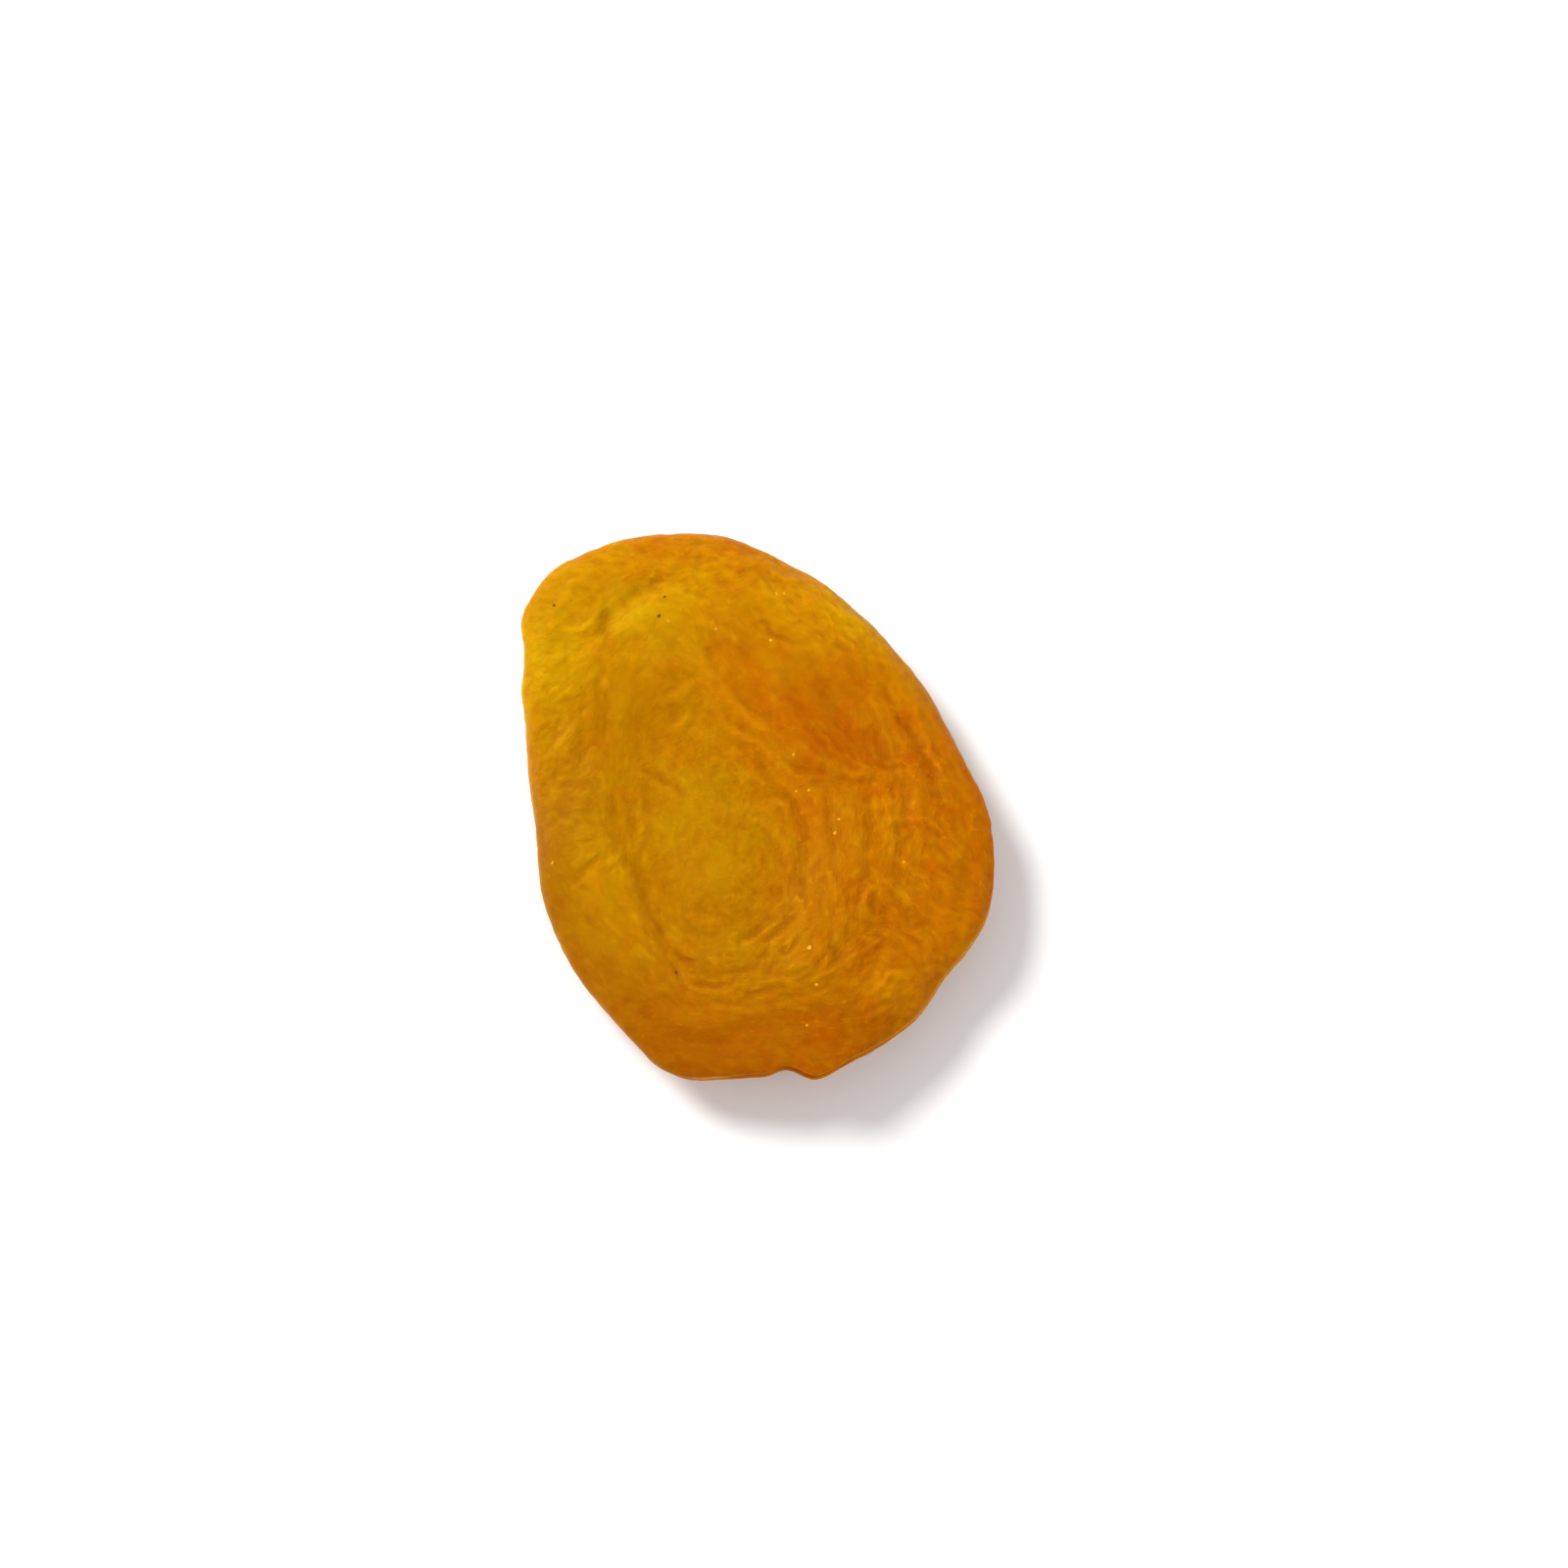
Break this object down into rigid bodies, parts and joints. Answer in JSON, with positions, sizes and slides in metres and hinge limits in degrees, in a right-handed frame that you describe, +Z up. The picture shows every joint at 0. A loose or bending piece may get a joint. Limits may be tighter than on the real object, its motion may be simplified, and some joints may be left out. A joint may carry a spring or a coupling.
{
  "type": "dried apricot",
  "caption": "Whole dried apricot pressed flat with its stone taken out: leathery wrinkled cheeks round a sunken stone print, a wavy rim with a suture and a notched stem end.",
  "frame": {"origin": "on the surface the fruit lies on, under the middle of its bounding box", "axes": "+Z up through the cheeks, +Y from the stem end with its notch towards the tip, +X to the right seen from above with the stem end nearest"},
  "size_m": [0.0406, 0.0484, 0.0085],
  "materials": {
    "apricot_skin": "waxy translucent wrinkled fruit skin, orange with yellow patches, satin"
  },
  "bodies": {
    "root": {"apricot": "apricot_skin"}
  },
  "joints": []
}
